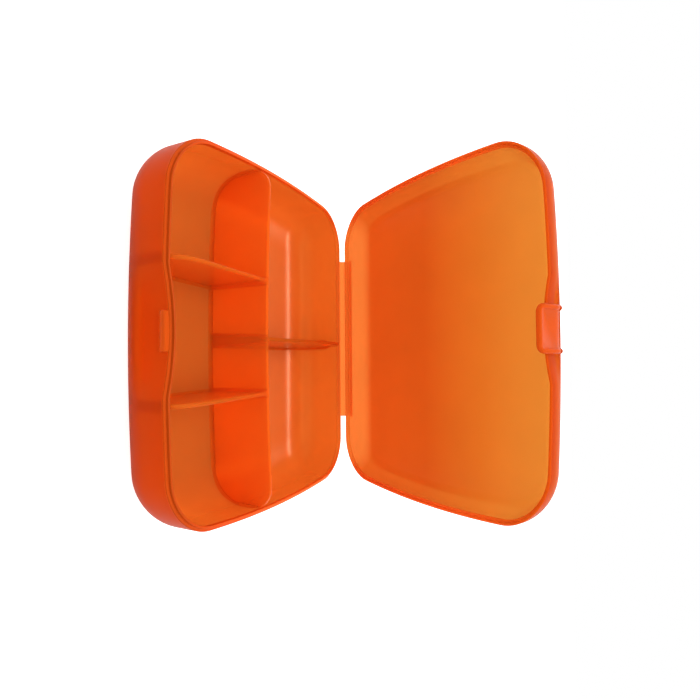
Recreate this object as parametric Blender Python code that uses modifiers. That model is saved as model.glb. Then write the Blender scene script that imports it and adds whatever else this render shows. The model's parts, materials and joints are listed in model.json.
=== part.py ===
"""Hinged five-compartment case with a snap latch, moulded in translucent polypropylene.

Millimetres are turned into metres by MM. The tray stands on its flat bottom, with the origin at the
middle of that face: +Z up, the hinge along X at +Y, the latch at -Y. A plan outline is worked out in
u, the distance from the hinge side towards the latch, and x. The lid is built closed, in the same
plan as the tray, and its hinge empty then swings it open.
"""

from math import cos
from math import pi
from math import radians
from math import sin
from math import tan

import bmesh
import bpy
from mathutils import Matrix
from mathutils import Vector

MM = 0.001

# Plan outline: a rounded rectangle whose latch side and ends bow outwards.
LENGTH = 114.0
WIDTH = 102.5
LATCH_CORNER = 16.3
HINGE_CORNER = 15.2
LATCH_BOW = 2.4
END_BOW = 3.5
SMALLEST_CORNER = 0.8

# Tray and lid shells.
WALL = 1.6
WALL_LEAN = 0.1
DRAFT = radians(2.0)
TRAY_HEIGHT = 21.7
TRAY_EDGE = 13.4
LID_HEIGHT = 9.4
LID_EDGE = 7.4
EDGE_STEPS = 6
CORNER_STEPS = 7
SIDE_STEPS = 22

# Rim: a lip on the tray stands inside a skirt on the lid.
LIP_INSET = 0.95
LIP_LEAN = 0.05
LIP_HEIGHT = 0.8
SKIRT = 0.7
SKIRT_DEPTH = 1.2
PARTING_GAP = 0.3

# Finger scoop in both latch walls: its depth, its half width, and how far from the rim it starts
# to fade and ends. It is in the latch side only, so it starts at SCOOP_FROM and is whole SCOOP_RUN
# further on.
TRAY_SCOOP = (2.5, 18.0, 6.5, 13.0)
LID_SCOOP = (1.9, 15.2, 3.6, 6.2)
SCOOP_FROM = 0.8 * WIDTH
SCOOP_RUN = 0.1 * WIDTH

# Dividers.
DIVIDER = 1.3
DIVIDER_RISE = 4.7
DIVIDER_ROUND = 7.4
LONG_DIVIDER_U = 60.9
LONG_DIVIDER_BOW = 2.3
LONG_DIVIDER_STEPS = 24
FRONT_LEFT_X = -19.0
FRONT_RIGHT_X = 19.2
FRONT_DIVIDER_SPLAY = radians(2.1)
REAR_DIVIDER_X = 0.75
GAP = 0.3

# Hinge: two leaves of one film meet at the fold line.
OPENING = radians(59.27)
FOLD_OUT = 1.86
FOLD_UP = 3.1
FILM = 0.5
FILM_MIDDLE_X = -2.0
FILM_HALF_WIDTH = 35.2
FILM_GAP = 0.25
FILM_ROOT_SLIP = 0.05
FOLD_GAP = 0.2
LID_FOLD_GAP = 0.45
TRAY_FILM_BEND = (0.9, 0.05)
LID_FILM_LIFT = 0.32

# Latch: a plate that follows the lid's edge down past its rim, inside a U-shaped round bead. The
# bead's two ends go on over the lid as nubs, and its hooked tip snaps under a bar on the tray.
TAB_PLATE = 1.0
TAB_PLATE_HALF_WIDTH = 6.3
TAB_REACH = 4.8
TAB_ROOT_TURN = radians(18)
NUB_START = radians(26)
NUB_END = radians(45)
NUB_SUNK = 0.3
NUB_STEPS = 4
BEAD = 0.85
BEAD_ROUNDNESS = 2
BEAD_X = 6.15
BEAD_CORNER = 1.6
BEAD_HOOK = 0.3
BAR_HALF_WIDTH = 5.7
BAR_TOP = 0.1
BAR_BOTTOM = 2.5
BAR_BACK = 102.95
BAR_FRONT = 103.7
BAR_BEVEL = 0.25
BAR_BEVEL_STEPS = 3

HINGE_Y = WIDTH / 2
ORANGE = (0.86, 0.16, 0.02, 1.0)
SATIN_ROUGHNESS = 0.3
SHARP_ANGLE = radians(35)
LOOSE = 0.00001


def clear_scene():
    for found in list(bpy.data.objects):
        bpy.data.objects.remove(found)


def collection(name):
    made = bpy.data.collections.new(name)
    bpy.context.scene.collection.children.link(made)
    return made


def plastic(name, colour):
    made = bpy.data.materials.new(name)
    made.use_nodes = True
    shader = made.node_tree.nodes["Principled BSDF"]
    shader.inputs["Base Color"].default_value = colour
    shader.inputs["Roughness"].default_value = SATIN_ROUGHNESS
    shader.inputs["Metallic"].default_value = 0.0
    shader.inputs["Alpha"].default_value = colour[3]
    made.diffuse_color = colour
    return made


def arc(centre_u, centre_x, radius, start, steps):
    """Points of a quarter circle in (u, x), from the angle start."""
    angles = [start + pi / 2 * step / steps for step in range(steps + 1)]
    return [(centre_u + radius * cos(a), centre_x + radius * sin(a)) for a in angles]


def outline(inset):
    """The plan outline, moved in by inset, as (u, x) points in turn."""
    half = LENGTH / 2 - inset
    latch = WIDTH - inset
    at_latch = max(LATCH_CORNER - inset, SMALLEST_CORNER)
    at_hinge = max(HINGE_CORNER - inset, SMALLEST_CORNER)
    corners = [
        arc(latch - at_latch, half - at_latch, at_latch, 0, CORNER_STEPS),
        arc(inset + at_hinge, half - at_hinge, at_hinge, pi / 2, CORNER_STEPS),
        arc(inset + at_hinge, at_hinge - half, at_hinge, pi, CORNER_STEPS),
        arc(latch - at_latch, at_latch - half, at_latch, 3 * pi / 2, CORNER_STEPS),
    ]
    points = []
    for number, corner in enumerate(corners):
        points += corner
        end = Vector(corner[-1])
        step_to = Vector(corners[(number + 1) % 4][0]) - end
        points += [tuple(end + step_to * step / SIDE_STEPS) for step in range(1, SIDE_STEPS)]
    return [bowed(u, x, inset, half) for u, x in points]


def bowed(u, x, inset, half):
    """Moves a point of the plain outline out by the bow of its side."""
    across = max(0, 1 - (x / half) ** 2)
    span = WIDTH / 2 - inset
    along = max(0, 1 - ((u - WIDTH / 2) / span) ** 2)
    return (
        u + LATCH_BOW * across * (u - inset) / (2 * span),
        x + END_BOW * along * x / half,
    )


def scooped(u, x, from_rim, scoop):
    """Moves a point of the latch wall in, where the finger scoop is."""
    depth, half_width, full, end = scoop
    fade = min(max((end - from_rim) / (end - full), 0), 1)
    share = max(0, 1 - (x / half_width) ** 2) * fade * fade * (3 - 2 * fade)
    at_latch = min(max((u - SCOOP_FROM) / SCOOP_RUN, 0), 1)
    return u - depth * share * at_latch


def loft(name, rings):
    """A closed solid through rings of (x, y, z) points, with a flat face at each end."""
    mesh = bmesh.new()
    loops = [[mesh.verts.new(Vector(point) * MM) for point in ring] for ring in rings]
    for lower, upper in zip(loops, loops[1:]):
        for number in range(len(lower)):
            after = (number + 1) % len(lower)
            mesh.faces.new((lower[number], lower[after], upper[after], upper[number]))
    mesh.faces.new(loops[0])
    mesh.faces.new(loops[-1])
    bmesh.ops.recalc_face_normals(mesh, faces=mesh.faces)
    return finish_mesh(name, mesh)


def finish_mesh(name, mesh):
    """The bmesh as a smooth-shaded object, not yet in a collection."""
    data = bpy.data.meshes.new(name)
    mesh.to_mesh(data)
    mesh.free()
    data.shade_smooth()
    data.set_sharp_from_angle(angle=SHARP_ANGLE)
    return bpy.data.objects.new(name, data)


def ring(inset, z, from_rim, scoop):
    """One outline as (x, y, z) points, at a height from_rim away from the rim."""
    return [(x, HINGE_Y - scooped(u, x, from_rim, scoop), z) for u, x in outline(inset)]


def shell_profile(height, edge, outer_top, inner_top):
    """(inset, height) pairs of a shell, from its outer bottom, over its rim, to its inner floor."""
    lean = (height - edge) * tan(DRAFT)
    angles = [pi / 2 * (1 - step / EDGE_STEPS) for step in range(EDGE_STEPS + 1)]
    outer = [(lean + edge * (1 - cos(a)), edge * (1 - sin(a))) for a in angles]
    inner_edge = edge - WALL
    inner = [
        (WALL + lean + inner_edge * (1 - cos(a)), WALL + inner_edge * (1 - sin(a)))
        for a in reversed(angles)
    ]
    return outer + outer_top + inner_top + inner


def tray_shell():
    middle = (TRAY_HEIGHT + TRAY_EDGE) / 2
    outer_top = [((TRAY_HEIGHT - middle) * tan(DRAFT), middle), (0, TRAY_HEIGHT)]
    lip_top = TRAY_HEIGHT + LIP_HEIGHT
    inner_top = [
        (LIP_INSET, TRAY_HEIGHT),
        (LIP_INSET + LIP_LEAN, lip_top),
        (WALL, lip_top),
        (WALL + WALL_LEAN, middle),
    ]
    profile = shell_profile(TRAY_HEIGHT, TRAY_EDGE, outer_top, inner_top)
    rings = [ring(inset, z, TRAY_HEIGHT - z, TRAY_SCOOP) for inset, z in profile]
    return loft("tray_shell", rings)


def lid_shell():
    """The lid, closed: its rim is a parting gap above the tray's shoulder, and its panel is up."""
    outer_top = [(0, LID_HEIGHT)]
    recess = LID_HEIGHT - SKIRT_DEPTH
    inner_top = [(SKIRT, LID_HEIGHT), (SKIRT + LIP_LEAN, recess), (WALL, recess)]
    profile = shell_profile(LID_HEIGHT, LID_EDGE, outer_top, inner_top)
    panel = TRAY_HEIGHT + PARTING_GAP + LID_HEIGHT
    rings = [ring(i, panel - depth, LID_HEIGHT - depth, LID_SCOOP) for i, depth in profile]
    return loft("lid_shell", rings)


def divider_space():
    """The room inside the tray and lid that the dividers fill, a gap clear of the walls."""
    inner = WALL + GAP
    edge = TRAY_EDGE - inner
    lean = (TRAY_HEIGHT - TRAY_EDGE) * tan(DRAFT)
    angles = [pi / 2 * (1 - step / EDGE_STEPS) for step in range(EDGE_STEPS + 1)]
    profile = [(inner + lean + edge * (1 - cos(a)), inner + edge * (1 - sin(a))) for a in angles]
    top = TRAY_HEIGHT + DIVIDER_RISE
    start = top - DIVIDER_ROUND
    side = inner + WALL_LEAN
    for a in reversed(angles):
        profile.append((side + DIVIDER_ROUND * (1 - cos(a)), start + DIVIDER_ROUND * sin(a)))
    rings = [ring(inset, z, TRAY_HEIGHT - z, TRAY_SCOOP) for inset, z in profile]
    return loft("divider_space", rings)


def prism(name, plan, low, high):
    """A solid with the plan (x, y) outline, from low to high."""
    return loft(name, [[(x, y, low) for x, y in plan], [(x, y, high) for x, y in plan]])


def long_divider_y(x):
    """Y of the long divider's middle plane at x: it bows towards the latch."""
    return HINGE_Y - LONG_DIVIDER_U - LONG_DIVIDER_BOW * (1 - (2 * x / LENGTH) ** 2)


def long_divider():
    steps = LONG_DIVIDER_STEPS
    half = LENGTH / 2 + END_BOW
    places = [-half + 2 * half * step / steps for step in range(steps + 1)]
    front = [(x, long_divider_y(x) - DIVIDER / 2) for x in places]
    back = [(x, long_divider_y(x) + DIVIDER / 2) for x in reversed(places)]
    return prism("long_divider", front + back, 0, TRAY_HEIGHT + 2 * DIVIDER_RISE)


def cross_divider(name, x_at_long, splay, side):
    """A plate from the long divider to the latch wall (side -1) or the hinge wall (side 1)."""
    start = long_divider_y(x_at_long) + side * (DIVIDER / 2 + GAP)
    reach = side * WIDTH
    x_far = x_at_long - reach * tan(splay)
    plan = [
        (x_at_long - DIVIDER / 2, start),
        (x_far - DIVIDER / 2, start + reach),
        (x_far + DIVIDER / 2, start + reach),
        (x_at_long + DIVIDER / 2, start),
    ]
    return prism(name, plan, 0, TRAY_HEIGHT + 2 * DIVIDER_RISE)


def thick_line(path, thickness):
    """The outline of a strip of that thickness along path, a list of (y, z)."""
    left = []
    right = []
    for number, place in enumerate(path):
        before = Vector(path[max(number - 1, 0)])
        after = Vector(path[min(number + 1, len(path) - 1)])
        along = (after - before).normalized()
        across = Vector((-along.y, along.x)) * thickness / 2
        left.append(tuple(Vector(place) + across))
        right.append(tuple(Vector(place) - across))
    return left + right[::-1]


def film_leaf(name, path):
    """A strip of hinge film that follows path, a list of (y, z)."""
    section = thick_line(path, FILM)
    sides = (FILM_MIDDLE_X - FILM_HALF_WIDTH, FILM_MIDDLE_X + FILM_HALF_WIDTH)
    return loft(name, [[(x, y, z) for y, z in section] for x in sides])


def tray_leaf():
    """From the tray's wall, just under its rim, out and up to the fold line."""
    root = (HINGE_Y + FILM_GAP + FILM_ROOT_SLIP, TRAY_HEIGHT - LIP_HEIGHT)
    bend = Vector((HINGE_Y, TRAY_HEIGHT)) + Vector(TRAY_FILM_BEND)
    fold = Vector((HINGE_Y + FOLD_OUT, TRAY_HEIGHT + FOLD_UP))
    tip = fold - (fold - bend).normalized() * FOLD_GAP
    return film_leaf("tray_hinge_leaf", [root, tuple(bend), tuple(tip)])


def lid_leaf():
    """From the lid's wall out to the fold line, with the lid closed."""
    level = TRAY_HEIGHT + FOLD_UP + LID_FILM_LIFT
    root = (HINGE_Y + FILM_GAP, level)
    tip = (HINGE_Y + FOLD_OUT - LID_FOLD_GAP, level)
    return film_leaf("lid_hinge_leaf", [root, tip])


def rounded_box(name, low, high, bevel):
    """A box between two corners, with its edges rounded by bevel."""
    bpy.ops.mesh.primitive_cube_add(size=1)
    made = bpy.context.object
    made.name = name
    size = Vector(high) - Vector(low)
    made.data.transform(Matrix.Diagonal((*(size * MM), 1)))
    made.data.transform(Matrix.Translation((Vector(low) + Vector(high)) / 2 * MM))
    edges = made.modifiers.new("rounded_edges", "BEVEL")
    edges.width = bevel * MM
    edges.segments = BAR_BEVEL_STEPS
    made.data.shade_smooth()
    made.users_collection[0].objects.unlink(made)
    return made


def catch_bar():
    low = (-BAR_HALF_WIDTH, HINGE_Y - BAR_FRONT, TRAY_HEIGHT - BAR_BOTTOM)
    high = (BAR_HALF_WIDTH, HINGE_Y - BAR_BACK, TRAY_HEIGHT - BAR_TOP)
    return rounded_box("catch_bar", low, high, BAR_BEVEL)


def lid_edge_point(inside, turn):
    """(y, z) on the closed lid's unscooped rounded edge, inside its face, turned up from level."""
    radius = LID_EDGE - inside
    centre_y = HINGE_Y - (WIDTH + LATCH_BOW) + LID_EDGE
    centre_z = TRAY_HEIGHT + PARTING_GAP + LID_HEIGHT - LID_EDGE
    return (centre_y - radius * cos(turn), centre_z + radius * sin(turn))


def latch_path():
    """(y, z) down the middle of the latch plate, from its root on the lid's edge to its tip."""
    turns = [TAB_ROOT_TURN * (1 - step / EDGE_STEPS) for step in range(EDGE_STEPS + 1)]
    path = [lid_edge_point(TAB_PLATE / 2, turn) for turn in turns]
    path.append((path[-1][0], TRAY_HEIGHT - TAB_REACH + BEAD))
    return path


def latch_plate():
    section = thick_line(latch_path(), TAB_PLATE)
    sides = (-TAB_PLATE_HALF_WIDTH, TAB_PLATE_HALF_WIDTH)
    return loft("latch_tab", [[(x, y, z) for y, z in section] for x in sides])


def latch_bead():
    """The round bead along both sides of the latch plate and round its hooked tip."""
    side = latch_path()
    tip_y, tip_z = side[-1]
    down = [(BEAD_X, y, z) for y, z in side[:-1]]
    corner = []
    for step in range(CORNER_STEPS):
        turn = pi / 2 * step / (CORNER_STEPS - 1)
        x = BEAD_X - BEAD_CORNER * (1 - cos(turn))
        z = tip_z + BEAD_CORNER * (1 - sin(turn))
        corner.append((x, tip_y + BEAD_HOOK * sin(turn), z))
    half = down + corner
    return round_bar("latch_bead", half + [(-x, y, z) for x, y, z in reversed(half)])


def latch_nub(name, x):
    """The end of the latch's bead that is moulded on the lid, half sunk in its edge."""
    sweep = NUB_END - NUB_START
    turns = [NUB_START + sweep * step / NUB_STEPS for step in range(NUB_STEPS + 1)]
    return round_bar(name, [(x, *lid_edge_point(NUB_SUNK, turn)) for turn in turns])


def round_bar(name, points):
    """A round bar of the bead's size along points, as a mesh."""
    line = bpy.data.curves.new(name, "CURVE")
    line.dimensions = "3D"
    line.bevel_depth = BEAD * MM
    line.bevel_resolution = BEAD_ROUNDNESS
    line.use_fill_caps = True
    spline = line.splines.new("POLY")
    spline.points.add(len(points) - 1)
    for place, point in zip(spline.points, points):
        place.co = (*(Vector(point) * MM), 1)
    return as_mesh(line)


def as_mesh(line):
    """A mesh object made from a curve, with its end caps welded on."""
    curve = bpy.data.objects.new(line.name, line)
    bpy.context.scene.collection.objects.link(curve)
    bpy.context.view_layer.update()
    graph = bpy.context.evaluated_depsgraph_get()
    data = bpy.data.meshes.new_from_object(curve.evaluated_get(graph))
    mesh = bmesh.new()
    mesh.from_mesh(data)
    bmesh.ops.remove_doubles(mesh, verts=mesh.verts, dist=LOOSE)
    bmesh.ops.recalc_face_normals(mesh, faces=mesh.faces)
    mesh.to_mesh(data)
    mesh.free()
    bpy.data.objects.remove(curve)
    return bpy.data.objects.new(line.name, data)


def boolean(body, operation, other):
    """Cuts body to, or joins it with, the helper other, which isn't rendered itself."""
    other.hide_render = True
    other.display_type = "WIRE"
    change = body.modifiers.new(f"{operation.lower()}_{other.name}", "BOOLEAN")
    change.operation = operation
    change.solver = "EXACT"
    change.object = other


def pivot(name, place, turn, parent=None):
    """An empty on a joint's axis, turned about X."""
    made = bpy.data.objects.new(name, None)
    made.location = Vector(place) * MM
    made.rotation_euler = (turn, 0, 0)
    if parent:
        made.location -= Vector(parent["closed_place"])
        made.parent = parent
    made["closed_place"] = Vector(place) * MM
    return made


def hang(piece, empty):
    """Parents a piece that was made with the lid closed to the empty that turns it."""
    piece.parent = empty
    piece.location = -Vector(empty["closed_place"])


def main():
    clear_scene()
    pieces = collection("hinged_compartment_case")
    cutters = collection("cutters")

    space = divider_space()
    dividers = [
        long_divider(),
        cross_divider("front_divider_left", FRONT_LEFT_X, -FRONT_DIVIDER_SPLAY, -1),
        cross_divider("front_divider_right", FRONT_RIGHT_X, FRONT_DIVIDER_SPLAY, -1),
        cross_divider("rear_divider", REAR_DIVIDER_X, 0, 1),
    ]
    for divider in dividers:
        boolean(divider, "INTERSECT", space)

    bead = latch_bead()
    tab = latch_plate()
    boolean(tab, "UNION", bead)

    nubs = [latch_nub("nub_left", -BEAD_X), latch_nub("nub_right", BEAD_X)]
    lid = lid_shell()
    for nub in nubs:
        boolean(lid, "UNION", nub)

    fold = (0, HINGE_Y + FOLD_OUT, TRAY_HEIGHT + FOLD_UP)
    lid_hinge = pivot("lid_hinge", fold, -OPENING)
    latch_flex = pivot("latch_flex", (0, *latch_path()[0]), 0, lid_hinge)
    lid_pieces = [lid, lid_leaf()]
    for piece in [*lid_pieces, *nubs]:
        hang(piece, lid_hinge)
    for piece in [tab, bead]:
        hang(piece, latch_flex)

    for helper in [space, bead, *nubs]:
        cutters.objects.link(helper)
    for piece in [tray_shell(), *dividers, tray_leaf(), catch_bar(), *lid_pieces, tab]:
        pieces.objects.link(piece)
        piece.data.materials.append(plastic(f"{piece.name}_polypropylene", ORANGE))
    for empty in [lid_hinge, latch_flex]:
        pieces.objects.link(empty)


main()
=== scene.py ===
"""The looks of the hinged compartment case: fine meshes and translucent orange polypropylene.

Lengths are in millimetres until MM turns them into metres. The tray stands on its flat bottom, with
the origin at the middle of that face: +Z up, the hinge along X at +Y, the latch at -Y. A plan
outline is worked out in u, the distance from the hinge side towards the latch, and x. The lid and
what is on it are built closed and then swung open about the lid_fold joint.
"""

import json
from math import cos
from math import pi
from math import radians
from math import sin
from math import sqrt
from math import tan

import bmesh
import bpy
from mathutils import Euler
from mathutils import Matrix
from mathutils import Vector


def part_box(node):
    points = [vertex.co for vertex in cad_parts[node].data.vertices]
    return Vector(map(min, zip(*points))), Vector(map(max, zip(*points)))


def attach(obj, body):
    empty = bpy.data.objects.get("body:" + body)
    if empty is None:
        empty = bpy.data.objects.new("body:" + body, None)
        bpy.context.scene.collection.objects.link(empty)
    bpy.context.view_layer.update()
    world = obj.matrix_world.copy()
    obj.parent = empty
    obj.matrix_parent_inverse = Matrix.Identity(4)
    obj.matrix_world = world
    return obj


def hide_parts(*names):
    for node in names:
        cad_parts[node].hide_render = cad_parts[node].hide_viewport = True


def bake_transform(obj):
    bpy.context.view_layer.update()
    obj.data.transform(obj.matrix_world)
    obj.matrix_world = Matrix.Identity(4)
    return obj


MM = 0.001

# Plan outline, as in the CAD model.
LENGTH = 114.0
WIDTH = 102.5
LATCH_CORNER = 16.3
HINGE_CORNER = 15.2
LATCH_BOW = 2.4
END_BOW = 3.5
SMALLEST_CORNER = 0.8
CORNER_STEPS = 18
SIDE_STEPS = 48
HINGE_Y = WIDTH / 2
SHARP_EDGE = radians(50)

# Shells.
WALL = 1.6
DRAFT = radians(2.0)
TRAY_HEIGHT = 21.7
TRAY_EDGE = 13.4
LID_HEIGHT = 9.4
LID_EDGE = 7.4
EDGE_STEPS = 18
LIP_INSET = 0.95
LIP_HEIGHT = 0.8
SKIRT = 0.7
SKIRT_DEPTH = 1.2
PARTING_GAP = 0.3
TRAY_LEAN = (TRAY_HEIGHT - TRAY_EDGE) * tan(DRAFT)
LID_LEAN = (LID_HEIGHT - LID_EDGE) * tan(DRAFT)

# A finger scoop is its depth, its half width, how far from the rim it keeps that depth, and where
# it ends. From SCOOP_FROM on, a share of the width, it fades in towards the latch wall.
TRAY_SCOOP = (2.5, 18.0, 6.5, 13.0)
LID_SCOOP = (1.9, 15.2, 3.6, 6.2)
SCOOP_FROM = 0.8
SCOOP_RUN = 0.1

# The tray's inner floor corner, the rims, and the profile rings where a shell's material changes.
FLOOR_REACH = 15.2
FLOOR_STEPS = 30
RIM_ROUND = 0.28
RIM_STEPS = 4
RIM_BAND = 1.5
PANEL_RING = EDGE_STEPS // 3
RIM_RING = EDGE_STEPS + 1
INSIDE_RING = EDGE_STEPS + 4 * (RIM_STEPS + 1)

# Dividers. The places of the steps are distances from a wall, another divider or the floor.
DIVIDER = 1.3
DIVIDER_TOP = TRAY_HEIGHT + 4.7
DIVIDER_ROUND = 7.4
LONG_DIVIDER_U = 60.9
LONG_DIVIDER_BOW = 2.3
FRONT_LEFT_X = -19.0
FRONT_RIGHT_X = 19.2
FRONT_DIVIDER_SPLAY = radians(2.1)
REAR_DIVIDER_X = 0.75
REAR_DIVIDER_ROUND = 11.5
REAR_DIVIDER_FOOT = 1.2
ROOT_FILLET = 0.9
ROOT_SUNK = 0.35
TOP_ROUND = 0.38
TOP_STEPS = 5
CLOSE_STEPS = [-ROOT_SUNK, 0.03, 0.12, 0.25, 0.45, 0.9]
ROUNDING_STEPS = [1.5, 2.2, 3, 4, 5, 6, 7, 8, 9.3, 10.6, 12]
FOOT_END = 1.8
MIDDLE_STEPS = 12
NEARBY = 0.1

# Hinge film. FILM_THINNEST is a share of the way from the tray to the lid.
FILM = 0.5
FILM_ROOT = 0.9
FILM_MIDDLE_X = -2.0
FILM_HALF_WIDTH = 35.2
FILM_SUNK = 0.2
FILM_OVER_FOLD = 0.32
FILM_THINNEST = 0.6
FILM_STEPS = 6
FILM_SLICES = 24

# Catch bar.
BAR_SUNK = 0.9
BAR_SLOPE = 0.35
BAR_ROUND = 0.3
BAR_ROUND_STEPS = 4

# Latch. NUB_MATERIAL is the lid's rim, by its place among the lid's materials.
TAB_PLATE = 1.0
TAB_RELIEF = 0.3
TAB_PLATE_HALF_WIDTH = 6.3
TAB_REACH = 4.8
TAB_ROOT_TURN = radians(18)
TAB_ROOT_STEPS = 8
NUB_START = radians(26)
NUB_END = radians(45)
NUB_STEPS = 6
NUB_SUNK = 0.3
NUB_MATERIAL = 2
BEAD = 0.85
BEAD_X = 6.15
BEAD_CORNER = 1.6
BEAD_CORNER_STEPS = 9
BEAD_HOOK = 0.3
BEAD_ROUNDNESS = 5
WELD = 0.01

# Studio, in metres and watts. LIT_FROM is the direction that most light comes from.
LIT_FROM = (0, 0.75, 0.66)
LIT_RANGE = (-0.45, 0.5)
LIT_SIDE = 1.6
DARK_SIDE = 0.75
FLOOR_GLOW = 0.75
FLOOR_LIGHT = 0.0
FLOOR_GREY = 0.8
FLOOR_ROUGHNESS = 0.8
STRIP_PLACE = (-0.027, 0.354, 0.39)
STRIP_AIM = (-0.02, 0.04, 0.002)
STRIP_SIZE = (0.3, 0.07)
STRIP_POWER = 1.1
TOP_PLACE = (0.0, -0.12, 0.6)
TOP_AIM = (0, -0.02, 0.01)
TOP_SIZE = (0.4, 0.3)
TOP_POWER = 1.2
FRONT_PLACE = (0.1, -0.6, 0.45)
FRONT_AIM = (0, 0.02, 0.04)
FRONT_SIZE = (0.5, 0.4)
FRONT_POWER = 0.4
FLOOR_DROP = 0.2 * MM
FLOOR_HALF_SIZE = 3

# Camera. Its place is in millimetres, CLIP_START in metres.
CAMERA_PLACE = (8.98, -152.92, 125.19)
CAMERA_TURN = (0.0408, -1.1215, 1.5534)
LENS = 25.855
SENSOR = 36
CLIP_START = 0.01

# Plastic. Colours that change from the fold to the latch side are pairs of a share of the shell's
# width and the colour there. These changes are painted light and shade on the plastic.
# Darker than the inside of the same plastic: painted shade on the outer faces.
OUTSIDE_PAINTED_SHADE_COLOUR = (0.62, 0.07, 0.003)
INSIDE_COLOUR = (0.99, 0.28, 0.04)
DIVIDER_COLOUR = (0.99, 0.28, 0.03)
LATCH_COLOUR = (0.71, 0.095, 0.008)
FILM_COLOUR = (0.99, 0.28, 0.05)
# Painted light on the tray's rim: light at the fold, where light comes through from behind, and
# darker towards the latch side.
TRAY_RIM_PAINTED_LIGHT_COLOURS = (
    (0.045, (0.99, 0.27, 0.04)),
    (0.09, (0.95, 0.17, 0.02)),
    (0.6, (0.85, 0.11, 0.012)),
    (0.85, (0.62, 0.07, 0.006)),
    (0.98, (0.46, 0.06, 0.005)),
)
# Painted light on the lid: a painted highlight band along the fold, painted shade next to it, and
# lighter, yellower colour towards the latch side where light comes through from behind.
LID_PAINTED_LIGHT_COLOURS = (
    (0.0, (0.99, 0.27, 0.05)),
    (0.06, (0.99, 0.28, 0.05)),
    (0.11, (0.82, 0.13, 0.012)),
    (0.45, (0.74, 0.12, 0.011)),
    (0.72, (0.78, 0.2, 0.02)),
    (1.0, (0.82, 0.31, 0.04)),
)
# Painted light on the lid's rounded edge: light at the fold, yellower towards the latch side, and a
# painted dark band along the latch edge.
LID_EDGE_PAINTED_LIGHT_COLOURS = (
    (0.0, (0.99, 0.3, 0.06)),
    (0.12, (0.9, 0.26, 0.04)),
    (0.85, (0.9, 0.38, 0.06)),
    (0.95, (0.6, 0.075, 0.004)),
)
# Painted light on the lid's rim: a painted highlight at the fold, darker towards the latch side.
LID_RIM_PAINTED_LIGHT_COLOURS = (
    (0.045, (0.99, 0.27, 0.04)),
    (0.09, (0.95, 0.13, 0.015)),
    (0.7, (0.95, 0.13, 0.015)),
    (0.97, (0.7, 0.09, 0.005)),
)

# A face is the refractive index and the colour of its reflections.
GLOSSY = (1.49, (1.0, 0.42, 0.09))
SATIN = (1.13, (1.0, 0.3, 0.06))
ACROSS_TRAY = (0, -1, 0)
CLEAR = 0.6
CLOUD_SCALE = 55
CLOUD_DETAIL = 3
CLOUD_SHADE = (0.93, 1.05)
GRAIN_SCALE = 2600
GRAIN_DETAIL = 2
GRAIN_DEPTH = 0.05

# Frame.
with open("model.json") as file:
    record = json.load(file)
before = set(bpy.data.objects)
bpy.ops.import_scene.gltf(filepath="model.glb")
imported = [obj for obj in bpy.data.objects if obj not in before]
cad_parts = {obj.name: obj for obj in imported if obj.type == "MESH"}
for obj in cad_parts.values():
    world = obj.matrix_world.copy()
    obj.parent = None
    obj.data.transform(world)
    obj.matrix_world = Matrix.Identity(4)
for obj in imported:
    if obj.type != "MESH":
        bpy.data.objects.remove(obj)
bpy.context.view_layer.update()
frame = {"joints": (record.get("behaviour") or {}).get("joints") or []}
joints = {joint["name"]: joint for joint in frame["joints"]}
FOLD = Vector(joints["lid_fold"]["pos_m"]) / MM
OPENING = -radians(joints["lid_fold"]["range_deg"][0])


# Shapes.
def arc(centre_u, centre_x, radius, start, steps):
    """Points of a quarter circle in (u, x), from the angle start."""
    angles = [start + pi / 2 * step / steps for step in range(steps + 1)]
    return [(centre_u + radius * cos(a), centre_x + radius * sin(a)) for a in angles]


def outline(inset):
    """The plan outline, moved in by inset, as (u, x) points in turn."""
    half = LENGTH / 2 - inset
    latch = WIDTH - inset
    at_latch = max(LATCH_CORNER - inset, SMALLEST_CORNER)
    at_hinge = max(HINGE_CORNER - inset, SMALLEST_CORNER)
    corners = [
        arc(latch - at_latch, half - at_latch, at_latch, 0, CORNER_STEPS),
        arc(inset + at_hinge, half - at_hinge, at_hinge, pi / 2, CORNER_STEPS),
        arc(inset + at_hinge, at_hinge - half, at_hinge, pi, CORNER_STEPS),
        arc(latch - at_latch, at_latch - half, at_latch, 3 * pi / 2, CORNER_STEPS),
    ]
    points = []
    for number, corner in enumerate(corners):
        points += corner
        end = Vector(corner[-1])
        step_to = Vector(corners[(number + 1) % 4][0]) - end
        points += [tuple(end + step_to * step / SIDE_STEPS) for step in range(1, SIDE_STEPS)]
    return [bowed(u, x, inset, half) for u, x in points]


def bowed(u, x, inset, half):
    """Moves a point of the plain outline out by the bow of its side."""
    across = max(0, 1 - (x / half) ** 2)
    span = WIDTH / 2 - inset
    along = max(0, 1 - ((u - WIDTH / 2) / span) ** 2)
    return (
        u + LATCH_BOW * across * (u - inset) / (2 * span),
        x + END_BOW * along * x / half,
    )


def scoop_depth(x, from_rim, scoop):
    """How far the finger scoop moves the latch wall in, at x and that far from the rim."""
    depth, half_width, full, end = scoop
    fade = min(max((end - from_rim) / (end - full), 0), 1)
    return depth * max(0, 1 - (x / half_width) ** 2) * fade * fade * (3 - 2 * fade)


def ring(inset, z, from_rim, scoop):
    """One outline as (x, y, z) points, at a height from_rim away from the rim."""
    points = []
    for u, x in outline(inset):
        at_latch = min(max((u - SCOOP_FROM * WIDTH) / (SCOOP_RUN * WIDTH), 0), 1)
        u -= scoop_depth(x, from_rim, scoop) * at_latch
        points.append((x, HINGE_Y - u, z))
    return points


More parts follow.
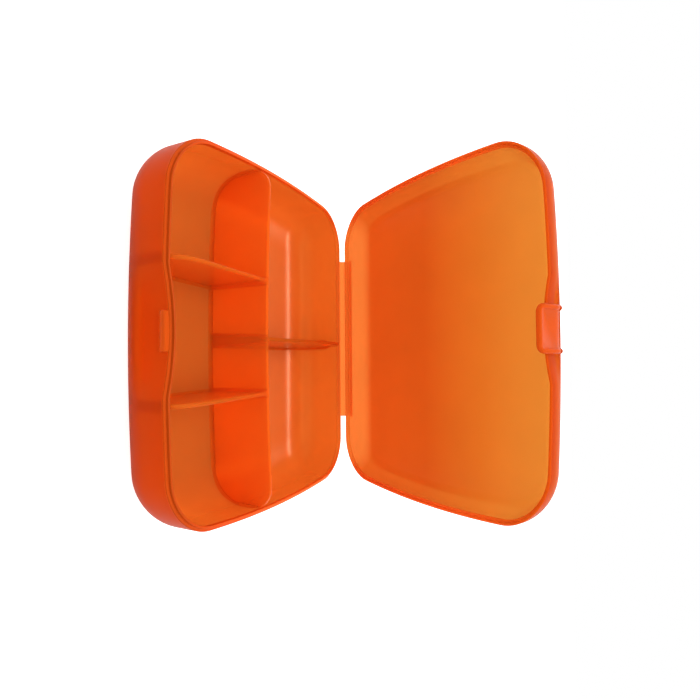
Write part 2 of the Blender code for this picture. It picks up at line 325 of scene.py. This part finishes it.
def rounded(corners):
    """A profile through corners, each (inset, height, radius, steps), with arcs in place of them."""
    profile = []
    for number, (inset, height, radius, steps) in enumerate(corners):
        here = Vector((inset, height))
        if not radius:
            profile.append(tuple(here))
            continue
        back = (Vector(corners[number - 1][:2]) - here).normalized()
        on = (Vector(corners[number + 1][:2]) - here).normalized()
        half_angle = back.angle(on) / 2
        start = here + back * radius / tan(half_angle)
        end = here + on * radius / tan(half_angle)
        centre = here + (back + on).normalized() * radius / sin(half_angle)
        sweep = (start - centre).angle(end - centre)
        for step in range(steps + 1):
            turn = sweep * step / steps
            spoke = (start - centre) * sin(sweep - turn) + (end - centre) * sin(turn)
            profile.append(tuple(centre + spoke / sin(sweep)))
    return profile


def eased(before, corner, after, reach, steps):
    """A soft corner between two lines of a profile: it bends little near its ends."""
    back = (Vector(before) - Vector(corner)).normalized()
    on = (Vector(after) - Vector(corner)).normalized()
    turn = pi - back.angle(on)
    places = [Vector((0, 0))]
    for step in range(steps):
        share = (step + 0.5) / steps
        turned = turn * share * share * (3 - 2 * share)
        ahead = (on * sin(turned) - back * sin(turn - turned)) / sin(turn)
        places.append(places[-1] + ahead)
    size = reach * (on - back).length / places[-1].length
    return [tuple(Vector(corner) + back * reach + place * size) for place in places]


def mesh_object(name, mesh):
    """The bmesh as a smooth-shaded object in the scene."""
    bmesh.ops.recalc_face_normals(mesh, faces=mesh.faces)
    data = bpy.data.meshes.new(name)
    mesh.to_mesh(data)
    mesh.free()
    data.shade_smooth()
    data.set_sharp_from_angle(angle=SHARP_EDGE)
    made = bpy.data.objects.new(name, data)
    bpy.context.scene.collection.objects.link(made)
    return made


def loft(name, rings, changes=()):
    """A closed solid through rings of (x, y, z) points, with a flat face at each end.

    At each ring number in changes the piece's next material begins.
    """
    mesh = bmesh.new()
    loops = [[mesh.verts.new(Vector(point) * MM) for point in ring] for ring in rings]
    for level, (lower, upper) in enumerate(zip(loops, loops[1:])):
        for number in range(len(lower)):
            after = (number + 1) % len(lower)
            face = mesh.faces.new((lower[number], lower[after], upper[after], upper[number]))
            face.material_index = sum(level >= change for change in changes)
    mesh.faces.new(loops[0])
    mesh.faces.new(loops[-1]).material_index = len(changes)
    return mesh_object(name, mesh)


def swing_open(piece):
    """Turns what was built with the lid closed by the lid's opening, about the fold."""
    turn = Matrix.Rotation(-OPENING, 4, "X")
    fold = Matrix.Translation(FOLD * MM)
    piece.data.transform(fold @ turn @ fold.inverted())


def boolean(body, operation, other):
    """Joins or cuts body with other, applies that, and removes other."""
    change = body.modifiers.new(operation, "BOOLEAN")
    change.operation = operation
    change.solver = "EXACT"
    change.object = other
    bpy.context.view_layer.update()
    graph = bpy.context.evaluated_depsgraph_get()
    result = bpy.data.meshes.new_from_object(body.evaluated_get(graph))
    body.modifiers.clear()
    body.data = result
    bpy.data.objects.remove(other)


def tray_shell():
    """The deep half: rounded edge, walls, a stepped rim with a lip, and the finger scoop."""
    lip_top = TRAY_HEIGHT + LIP_HEIGHT
    profile = rounded(
        [
            (TRAY_LEAN + 2 * TRAY_EDGE, 0, 0, 0),
            (TRAY_LEAN, 0, TRAY_EDGE, EDGE_STEPS),
            (0, TRAY_HEIGHT, RIM_ROUND, RIM_STEPS),
            (LIP_INSET, TRAY_HEIGHT, RIM_ROUND / 2, RIM_STEPS),
            (LIP_INSET, lip_top, RIM_ROUND / 2, RIM_STEPS),
            (WALL, lip_top, RIM_ROUND / 2, RIM_STEPS),
            (WALL, lip_top - RIM_BAND, 0, 0),
            (WALL + TRAY_LEAN, WALL, 0, 0),
        ]
    )[1:-1]
    floor = (WALL + TRAY_LEAN, WALL)
    inwards = (WALL + TRAY_LEAN + 2 * TRAY_EDGE, WALL)
    profile += eased((WALL, lip_top), floor, inwards, FLOOR_REACH, FLOOR_STEPS)
    rings = [ring(inset, z, TRAY_HEIGHT - z, TRAY_SCOOP) for inset, z in profile]
    return loft("tray_shell_moulding", rings, (RIM_RING, INSIDE_RING + 1))


def lid_shell():
    """The shallow half, closed, with its rim skirt, the finger scoop and the bead's two nubs."""
    panel = TRAY_HEIGHT + PARTING_GAP + LID_HEIGHT
    recess = LID_HEIGHT - SKIRT_DEPTH
    profile = rounded(
        [
            (LID_LEAN + 2 * LID_EDGE, 0, 0, 0),
            (LID_LEAN, 0, LID_EDGE, EDGE_STEPS),
            (0, LID_HEIGHT, RIM_ROUND, RIM_STEPS),
            (SKIRT, LID_HEIGHT, RIM_ROUND / 2, RIM_STEPS),
            (SKIRT, recess, RIM_ROUND / 2, RIM_STEPS),
            (WALL, recess, RIM_ROUND, RIM_STEPS),
            (WALL + LID_LEAN, WALL, LID_EDGE - WALL, EDGE_STEPS),
            (WALL + LID_LEAN + 2 * LID_EDGE, WALL, 0, 0),
        ]
    )[1:-1]
    rings = [ring(i, panel - depth, LID_HEIGHT - depth, LID_SCOOP) for i, depth in profile]
    lid = loft("lid_shell_moulding", rings, (PANEL_RING, RIM_RING, INSIDE_RING))
    for side in (-1, 1):
        steps = range(NUB_STEPS + 1)
        turns = [NUB_START + (NUB_END - NUB_START) * step / NUB_STEPS for step in steps]
        nub = round_bar("nub", [(side * BEAD_X, *lid_edge_point(NUB_SUNK, turn)) for turn in turns])
        for face in nub.data.polygons:
            face.material_index = NUB_MATERIAL
        boolean(lid, "UNION", nub)
    return lid


def long_divider_y(x):
    """Y of the long divider's middle plane at x: it bows towards the latch."""
    return HINGE_Y - LONG_DIVIDER_U - LONG_DIVIDER_BOW * (1 - (2 * x / LENGTH) ** 2)


def wall_inset(z):
    """How far the tray's inner wall is in from the outline, above its rounded floor edge."""
    return WALL + TRAY_LEAN * min(max((TRAY_HEIGHT - z) / (TRAY_HEIGHT - TRAY_EDGE), 0), 1)


def corner_rise(distance, radius):
    """Height of a rounded inner corner above its flat, at a distance from the wall."""
    if distance >= radius:
        return 0
    return radius - sqrt(max(0, radius**2 - (radius - max(distance, 0)) ** 2))


def fillet(distance):
    """How much a divider is thicker on one side, that far from the wall it grows out of."""
    return corner_rise(distance, ROOT_FILLET)


def divider_steps(reach, start_is_wall):
    """Places along a divider, as (from the far end?, distance from that end)."""
    near = CLOSE_STEPS + (ROUNDING_STEPS if start_is_wall else ROUNDING_STEPS[::2])
    far = CLOSE_STEPS + ROUNDING_STEPS
    start = near[-1]
    end = reach - far[-1]
    middle = [start + (end - start) * n / MIDDLE_STEPS for n in range(1, MIDDLE_STEPS)]
    return [(False, away) for away in near + middle] + [(True, away) for away in reversed(far)]


def divider(name, plan, start, end, start_is_wall, top_round=DIVIDER_ROUND, foot=0):
    """A plate with a rounded top and filleted roots.

    plan(p) is its (x, y) at p along it, and start(z) and end(z) are the places p of the walls, or
    of the other divider, that it stands between. foot is how much it is thicker on each side at the
    floor than at the top.
    """
    steps = divider_steps(end(TRAY_HEIGHT) - start(TRAY_HEIGHT), start_is_wall)
    low_rows = [*CLOSE_STEPS, FOOT_END]
    top_turns = [pi / 2 * n / TOP_STEPS for n in range(TOP_STEPS + 1)]
    high_rows = [TOP_ROUND * (1 - sin(turn)) for turn in top_turns]
    shrink = [TOP_ROUND * (1 - cos(turn)) for turn in top_turns]
    edge = TRAY_EDGE - WALL
    mesh = bmesh.new()
    sheets = {-1: [], 1: []}
    for far, away in steps:
        wall_here = far or start_is_wall
        low = WALL + (corner_rise(away, edge) if wall_here else 0)
        high = DIVIDER_TOP - (corner_rise(away, top_round) if wall_here else 0)
        rows = [(low + rise, 0) for rise in low_rows]
        body_low = low + low_rows[-1]
        body_high = high - high_rows[0]
        for n in range(1, MIDDLE_STEPS):
            rows.append((body_low + (body_high - body_low) * n / MIDDLE_STEPS, 0))
        rows += [(high - drop, less) for drop, less in zip(high_rows, shrink)]
        columns = {-1: [], 1: []}
        for z, less in rows:
            p = end(z) - away if far else start(z) + away
            x, y = plan(p)
            ahead = Vector(plan(p + NEARBY)) - Vector(plan(p - NEARBY))
            side = Vector((-ahead.y, ahead.x)).normalized()
            widened = foot * (DIVIDER_TOP - z) / (DIVIDER_TOP - WALL)
            thick = DIVIDER / 2 + widened - less + max(fillet(away), fillet(z - low))
            for sign in (-1, 1):
                place = Vector((x, y)) + side * thick * sign
                columns[sign].append(mesh.verts.new(Vector((place.x, place.y, z)) * MM))
        for sign in (-1, 1):
            sheets[sign].append(columns[sign])
    for sheet in sheets.values():
        for left, right in zip(sheet, sheet[1:]):
            for row in range(len(left) - 1):
                mesh.faces.new((left[row], right[row], right[row + 1], left[row + 1]))
    back, front = sheets[-1], sheets[1]
    for number in range(len(back) - 1):
        for row in (0, -1):
            near, far = number, number + 1
            mesh.faces.new((back[near][row], back[far][row], front[far][row], front[near][row]))
    for column in (0, -1):
        for row in range(len(back[0]) - 1):
            mesh.faces.new(
                (
                    back[column][row],
                    back[column][row + 1],
                    front[column][row + 1],
                    front[column][row],
                )
            )
    return mesh_object(name, mesh)


def long_divider():
    """The bowed divider between the tray's two end walls."""
    u = WIDTH / 2 - LONG_DIVIDER_U
    half = LENGTH / 2 + END_BOW * (1 - (u / (WIDTH / 2 - WALL)) ** 2)
    return divider(
        "long_divider_moulding",
        lambda p: (p, long_divider_y(p)),
        lambda z: wall_inset(z) - half,
        lambda z: half - wall_inset(z),
        True,
    )


def front_divider(name, x_at_long, splay):
    """A divider from the long divider to the latch wall, leaning in plan by splay."""
    start = long_divider_y(x_at_long) - DIVIDER / 2
    across = 1 - (2 * x_at_long / LENGTH) ** 2
    latch = HINGE_Y - WIDTH - LATCH_BOW * across

    def reach(z):
        scoop = scoop_depth(x_at_long, TRAY_HEIGHT - z, TRAY_SCOOP)
        return start - latch - wall_inset(z) - scoop

    return divider(
        name,
        lambda p: (x_at_long + p * tan(splay), start - p),
        lambda z: 0,
        reach,
        False,
    )


def rear_divider():
    """The divider from the long divider to the hinge wall, with a thicker foot."""
    start = long_divider_y(REAR_DIVIDER_X) + DIVIDER / 2
    return divider(
        "rear_divider_moulding",
        lambda p: (REAR_DIVIDER_X, start + p),
        lambda z: 0,
        lambda z: HINGE_Y - wall_inset(z) - start,
        False,
        REAR_DIVIDER_ROUND,
        REAR_DIVIDER_FOOT,
    )


def thick_line(path, thickness):
    """The outline of a strip along path, a list of (y, z), with the thickness at each point."""
    left = []
    right = []
    for number, place in enumerate(path):
        before = Vector(path[max(number - 1, 0)])
        after = Vector(path[min(number + 1, len(path) - 1)])
        along = (after - before).normalized()
        across = Vector((-along.y, along.x)) * thickness[number] / 2
        left.append(tuple(Vector(place) + across))
        right.append(tuple(Vector(place) - across))
    return left + right[::-1]


def smooth_path(points, steps):
    """Catmull-Rom curve through points, with that many steps between two of them."""
    ends = [points[0], *points, points[-1]]
    path = []
    for before, here, after, last in zip(ends, ends[1:], ends[2:], ends[3:]):
        a, b, c, d = Vector(before), Vector(here), Vector(after), Vector(last)
        for step in range(steps):
            t = step / steps
            place = 2 * b + (c - a) * t + (2 * a - 5 * b + 4 * c - d) * t * t
            path.append(tuple((place + (3 * b - a - 3 * c + d) * t**3) / 2))
    return path + [tuple(points[-1])]


def bar_along_x(name, section, low, high, steps=1):
    """A solid with the (y, z) outline section, from low to high in x."""
    places = [low + (high - low) * step / steps for step in range(steps + 1)]
    return loft(name, [[(x, y, z) for y, z in section] for x in places])


def opened(y, z):
    """(y, z) of a point of the closed lid, with the lid open as at rest."""
    across = y - FOLD.y
    up = z - FOLD.z
    return (
        FOLD.y + across * cos(OPENING) + up * sin(OPENING),
        FOLD.z - across * sin(OPENING) + up * cos(OPENING),
    )


def hinge_film():
    """One web from under the tray's rim, over the fold, into the lid's wall."""
    lid_level = FOLD.z + FILM_OVER_FOLD
    points = [
        (HINGE_Y - FILM_SUNK, TRAY_HEIGHT - 1.0),
        (HINGE_Y + 0.35, TRAY_HEIGHT - 0.55),
        (HINGE_Y + 1.1, TRAY_HEIGHT + 0.5),
        (FOLD.y - 0.12, FOLD.z - 1.0),
        (FOLD.y, FOLD.z + 0.1),
        opened(HINGE_Y + 0.9, lid_level),
        opened(HINGE_Y - FILM_SUNK, lid_level),
    ]
    path = smooth_path(points, FILM_STEPS)
    last = len(path) - 1
    middle = FILM_THINNEST * last
    thickness = []
    for number in range(len(path)):
        from_fold = min(abs(number - middle) / (last - middle), 1)
        thickness.append(FILM + (FILM_ROOT - FILM) * from_fold**3)
    section = thick_line(path, thickness)
    low = FILM_MIDDLE_X - FILM_HALF_WIDTH
    return bar_along_x("hinge_film_web", section, low, low + 2 * FILM_HALF_WIDTH, FILM_SLICES)


def catch_bar():
    """The CAD's catch bar, sunk into the latch wall, with a sloping top and rounded edges."""
    low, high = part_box("catch_bar")
    mesh = bmesh.new()
    bmesh.ops.create_cube(mesh, size=1)
    sunk = Vector((0, BAR_SUNK * MM, 0))
    size = high + sunk - low
    bmesh.ops.scale(mesh, vec=size, verts=mesh.verts)
    bmesh.ops.translate(mesh, vec=(low + high + sunk) / 2, verts=mesh.verts)
    front = [v for v in mesh.verts if v.co.y < (low.y + high.y) / 2]
    for vert in front:
        if vert.co.z > (low.z + high.z) / 2:
            vert.co.z -= BAR_SLOPE * MM
    bmesh.ops.bevel(
        mesh,
        geom=mesh.edges[:],
        offset=BAR_ROUND * MM,
        segments=BAR_ROUND_STEPS,
        profile=0.5,
        affect="EDGES",
    )
    return mesh_object("catch_bar_moulding", mesh)


def lid_edge_point(inside, turn):
    """(y, z) on the closed lid's unscooped rounded edge, inside its face, turned up from level."""
    radius = LID_EDGE - inside
    centre_y = HINGE_Y - (WIDTH + LATCH_BOW) + LID_EDGE
    centre_z = TRAY_HEIGHT + PARTING_GAP + LID_HEIGHT - LID_EDGE
    return (centre_y - radius * cos(turn), centre_z + radius * sin(turn))


def latch_path():
    """(y, z) down the middle of the latch plate, from its root on the lid's edge to its tip."""
    turns = [TAB_ROOT_TURN * (1 - step / TAB_ROOT_STEPS) for step in range(TAB_ROOT_STEPS + 1)]
    path = [lid_edge_point(TAB_PLATE / 2, turn) for turn in turns]
    path.append((path[-1][0], TRAY_HEIGHT - TAB_REACH + BEAD))
    return path


def latch_tab():
    """The latch's plate with its round bead down one side, round the tip and up the other."""
    path = latch_path()
    section = thick_line(path, [TAB_PLATE - TAB_RELIEF] * len(path))
    half = TAB_PLATE_HALF_WIDTH
    plate = bar_along_x("latch_tab_moulding", section, -half, half)
    tip_y, tip_z = path[-1]
    down = [(BEAD_X, y, z) for y, z in path[:-1]]
    corner = []
    for step in range(BEAD_CORNER_STEPS + 1):
        turn = pi / 2 * step / BEAD_CORNER_STEPS
        x = BEAD_X - BEAD_CORNER * (1 - cos(turn))
        z = tip_z + BEAD_CORNER * (1 - sin(turn))
        corner.append((x, tip_y + BEAD_HOOK * sin(turn), z))
    half_bead = down + corner
    mirrored = [(-x, y, z) for x, y, z in reversed(half_bead)]
    boolean(plate, "UNION", round_bar("bead", half_bead + mirrored))
    return plate


def round_bar(name, points):
    """A round bar of the bead's size along points, as a mesh object."""
    line = bpy.data.curves.new(name, "CURVE")
    line.dimensions = "3D"
    line.bevel_depth = BEAD * MM
    line.bevel_resolution = BEAD_ROUNDNESS
    line.use_fill_caps = True
    spline = line.splines.new("POLY")
    spline.points.add(len(points) - 1)
    for place, point in zip(spline.points, points):
        place.co = (*(Vector(point) * MM), 1)
    curve = bpy.data.objects.new(name, line)
    bpy.context.scene.collection.objects.link(curve)
    bpy.context.view_layer.update()
    graph = bpy.context.evaluated_depsgraph_get()
    mesh = bmesh.new()
    mesh.from_mesh(bpy.data.meshes.new_from_object(curve.evaluated_get(graph)))
    bmesh.ops.remove_doubles(mesh, verts=mesh.verts, dist=WELD * MM)
    bpy.data.objects.remove(curve)
    return mesh_object(name, mesh)


# Materials.
def new_material(name):
    """A new material, its nodes and its links."""
    made = bpy.data.materials.new(name)
    made.use_nodes = True
    return made, made.node_tree.nodes, made.node_tree.links


def polypropylene(name, colour, face, roughness, clear, grain, ahead=None):
    """Translucent orange plastic, a little cloudy, glossy or finely grained on its face.

    With ahead, a direction away from the fold, colour is pairs of a share and the colour there, and
    its change from the fold to the latch side is painted light and shade.
    """
    made, nodes, links = new_material(name)
    shader = nodes["Principled BSDF"]
    index, shine = face
    shader.inputs["IOR"].default_value = index
    shader.inputs["Roughness"].default_value = roughness
    shader.inputs["Specular Tint"].default_value = (*shine, 1)
    shader.inputs["Transmission Weight"].default_value = clear
    where = nodes.new("ShaderNodeTexCoord")

    cloud = nodes.new("ShaderNodeTexNoise")
    cloud.inputs["Scale"].default_value = CLOUD_SCALE
    cloud.inputs["Detail"].default_value = CLOUD_DETAIL
    links.new(where.outputs["Object"], cloud.inputs["Vector"])
    tint = nodes.new("ShaderNodeMix")
    tint.data_type = "RGBA"
    tint.blend_type = "MULTIPLY"
    tint.inputs["Factor"].default_value = 1
    if ahead:
        links.new(painted_light_gradient(nodes, links, where, colour, ahead), tint.inputs["A"])
    else:
        tint.inputs["A"].default_value = (*colour, 1)
    shade = nodes.new("ShaderNodeMapRange")
    shade.inputs["To Min"].default_value = CLOUD_SHADE[0]
    shade.inputs["To Max"].default_value = CLOUD_SHADE[1]
    links.new(cloud.outputs["Fac"], shade.inputs["Value"])
    links.new(shade.outputs["Result"], tint.inputs["B"])
    links.new(tint.outputs["Result"], shader.inputs["Base Color"])

    fine = nodes.new("ShaderNodeTexNoise")
    fine.inputs["Scale"].default_value = GRAIN_SCALE
    fine.inputs["Detail"].default_value = GRAIN_DETAIL
    links.new(where.outputs["Object"], fine.inputs["Vector"])
    bump = nodes.new("ShaderNodeBump")
    bump.inputs["Strength"].default_value = grain
    bump.inputs["Distance"].default_value = GRAIN_DEPTH * MM
    links.new(fine.outputs["Fac"], bump.inputs["Height"])
    links.new(bump.outputs["Normal"], shader.inputs["Normal"])
    return made


def painted_light_gradient(nodes, links, where, colours, ahead):
    """Painted light and shade: a colour that changes from the fold to the latch side, in the
    direction ahead.
    """
    along = nodes.new("ShaderNodeVectorMath")
    along.operation = "DOT_PRODUCT"
    along.inputs[1].default_value = ahead
    links.new(where.outputs["Object"], along.inputs[0])
    share = nodes.new("ShaderNodeMapRange")
    start = FOLD.dot(ahead) * MM
    share.inputs["From Min"].default_value = start
    share.inputs["From Max"].default_value = start + WIDTH * MM
    links.new(along.outputs["Value"], share.inputs["Value"])
    ramp = nodes.new("ShaderNodeValToRGB")
    stops = ramp.color_ramp.elements
    while len(stops) < len(colours):
        stops.new(0.5)
    for stop, (place, stop_colour) in zip(stops, colours):
        stop.position = place
        stop.color = (*stop_colour, 1)
    links.new(share.outputs["Result"], ramp.inputs["Fac"])
    return ramp.outputs["Color"]


def floor_material():
    """Pale, and glowing a little to the camera only, so that shadows on it stay faint."""
    made, nodes, links = new_material("pale_floor")
    shader = nodes["Principled BSDF"]
    shader.inputs["Base Color"].default_value = (FLOOR_GREY, FLOOR_GREY, FLOOR_GREY, 1)
    shader.inputs["Roughness"].default_value = FLOOR_ROUGHNESS
    shader.inputs["Specular IOR Level"].default_value = 0.0
    shader.inputs["Emission Color"].default_value = (1, 1, 1, 1)
    path = nodes.new("ShaderNodeLightPath")
    glow = nodes.new("ShaderNodeMapRange")
    glow.inputs["To Min"].default_value = FLOOR_LIGHT
    glow.inputs["To Max"].default_value = FLOOR_GLOW
    links.new(path.outputs["Is Camera Ray"], glow.inputs["Value"])
    links.new(glow.outputs["Result"], shader.inputs["Emission Strength"])
    return made


def studio_world():
    """Brighter from behind and above than from the front, with a plain white backdrop."""
    made = bpy.data.worlds.new("studio")
    made.use_nodes = True
    nodes = made.node_tree.nodes
    links = made.node_tree.links
    back = nodes["Background"]
    where = nodes.new("ShaderNodeTexCoord")
    lamp_side = nodes.new("ShaderNodeVectorMath")
    lamp_side.operation = "DOT_PRODUCT"
    lamp_side.inputs[1].default_value = Vector(LIT_FROM).normalized()
    links.new(where.outputs["Generated"], lamp_side.inputs[0])
    level = nodes.new("ShaderNodeMapRange")
    level.interpolation_type = "SMOOTHSTEP"
    level.inputs["From Min"].default_value = LIT_RANGE[0]
    level.inputs["From Max"].default_value = LIT_RANGE[1]
    level.inputs["To Min"].default_value = DARK_SIDE
    level.inputs["To Max"].default_value = LIT_SIDE
    links.new(lamp_side.outputs["Value"], level.inputs["Value"])
    path = nodes.new("ShaderNodeLightPath")
    seen = nodes.new("ShaderNodeMix")
    seen.inputs["B"].default_value = 1.0
    links.new(path.outputs["Is Camera Ray"], seen.inputs["Factor"])
    links.new(level.outputs["Result"], seen.inputs["A"])
    links.new(seen.outputs["Result"], back.inputs["Strength"])
    back.inputs["Color"].default_value = (1, 1, 1, 1)
    return made


# The object.
up_lid = (0, -cos(OPENING), sin(OPENING))
# tray_outside is painted darker as shade, and the rim and lid materials carry painted light and
# shade from the fold to the latch side.
tray_inside = polypropylene(
    "tray_inside", INSIDE_COLOUR, GLOSSY, roughness=0.24, clear=CLEAR, grain=0.1
)
tray_outside = polypropylene(
    "tray_outside", OUTSIDE_PAINTED_SHADE_COLOUR, SATIN, roughness=0.35, clear=CLEAR, grain=0.25
)
tray_rim = polypropylene(
    "tray_rim", TRAY_RIM_PAINTED_LIGHT_COLOURS, SATIN, roughness=0.25, clear=0.25, grain=0.05, ahead=ACROSS_TRAY
)
divider_plastic = polypropylene(
    "divider_plastic", DIVIDER_COLOUR, SATIN, roughness=0.2, clear=0.75, grain=0.1
)
lid_inside = polypropylene(
    "lid_inside", LID_PAINTED_LIGHT_COLOURS, SATIN, roughness=0.3, clear=CLEAR, grain=0.15, ahead=up_lid
)
lid_outside = polypropylene(
    "lid_outside", LID_PAINTED_LIGHT_COLOURS, SATIN, roughness=0.35, clear=CLEAR, grain=0.2, ahead=up_lid
)
lid_edge = polypropylene(
    "lid_edge", LID_EDGE_PAINTED_LIGHT_COLOURS, SATIN, roughness=0.35, clear=CLEAR, grain=0.2, ahead=up_lid
)
lid_rim = polypropylene(
    "lid_rim", LID_RIM_PAINTED_LIGHT_COLOURS, SATIN, roughness=0.25, clear=0.25, grain=0.05, ahead=up_lid
)
latch_plastic = polypropylene(
    "latch_plastic", LATCH_COLOUR, SATIN, roughness=0.2, clear=0.35, grain=0.05
)
film_plastic = polypropylene(
    "film_plastic", FILM_COLOUR, SATIN, roughness=0.2, clear=0.75, grain=0.1
)


def dress(piece, materials, slot, *nodes):
    """Gives a piece its materials and hides the CAD nodes that it stands for; slot is not used."""
    for material in materials:
        piece.data.materials.append(material)
    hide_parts(*nodes)


tray = tray_shell()
dress(tray, [tray_outside, tray_rim, tray_inside], "tray_plastic", "tray_shell")
dividers = {
    "long_divider": long_divider(),
    "front_divider_left": front_divider(
        "front_divider_left_moulding", FRONT_LEFT_X, -FRONT_DIVIDER_SPLAY
    ),
    "front_divider_right": front_divider(
        "front_divider_right_moulding", FRONT_RIGHT_X, FRONT_DIVIDER_SPLAY
    ),
    "rear_divider": rear_divider(),
}
for node, piece in dividers.items():
    dress(piece, [divider_plastic], "divider_plastic", node)
bar = catch_bar()
dress(bar, [latch_plastic], "latch_plastic", "catch_bar")
for piece in [tray, bar, *dividers.values()]:
    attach(piece, "tray")

lid = lid_shell()
dress(lid, [lid_outside, lid_edge, lid_rim, lid_inside], "lid_plastic", "lid_shell")
tab = latch_tab()
dress(tab, [latch_plastic], "latch_plastic", "latch_tab")
for piece, body in [(lid, "lid"), (tab, "latch")]:
    swing_open(piece)
    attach(piece, body)

film = hinge_film()
dress(film, [film_plastic], "hinge_film", "tray_hinge_leaf", "lid_hinge_leaf")
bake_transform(film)


# Floor, light and camera.
mesh = bmesh.new()
bmesh.ops.create_grid(mesh, x_segments=8, y_segments=8, size=FLOOR_HALF_SIZE)
floor = mesh_object("floor", mesh)
floor.data.materials.append(floor_material())
floor.location.z = -FLOOR_DROP

bpy.context.scene.world = studio_world()


def soft_light(name, place, aim, size, power):
    """An area light of (width, height), in metres, that faces aim."""
    light = bpy.data.lights.new(name, "AREA")
    light.shape = "RECTANGLE"
    light.size, light.size_y = size
    light.energy = power
    lamp = bpy.data.objects.new(name, light)
    lamp.location = place
    lamp.rotation_euler = (Vector(aim) - Vector(place)).to_track_quat("-Z", "Y").to_euler()
    bpy.context.scene.collection.objects.link(lamp)
    return lamp


def group(name, pieces):
    """A collection that lists pieces for light linking."""
    made = bpy.data.collections.new(name)
    for piece in pieces:
        made.objects.link(piece)
    return made


soft_light("top", TOP_PLACE, TOP_AIM, TOP_SIZE, TOP_POWER)
soft_light("front", FRONT_PLACE, FRONT_AIM, FRONT_SIZE, FRONT_POWER)

# The strip shines through the clear plastic into the tray.
strip = soft_light("strip", STRIP_PLACE, STRIP_AIM, STRIP_SIZE, STRIP_POWER)
strip.light_linking.receiver_collection = group("strip_lit", [tray])
strip.light_linking.blocker_collection = group("strip_blockers", dividers.values())

view = bpy.data.cameras.new("camera")
view.lens = LENS
view.sensor_width = SENSOR
view.clip_start = CLIP_START
camera = bpy.data.objects.new("camera", view)
camera.location = [value * MM for value in CAMERA_PLACE]
camera.rotation_euler = Euler(CAMERA_TURN)
bpy.context.scene.collection.objects.link(camera)
bpy.context.scene.camera = camera
bpy.context.scene.view_settings.view_transform = "Standard"
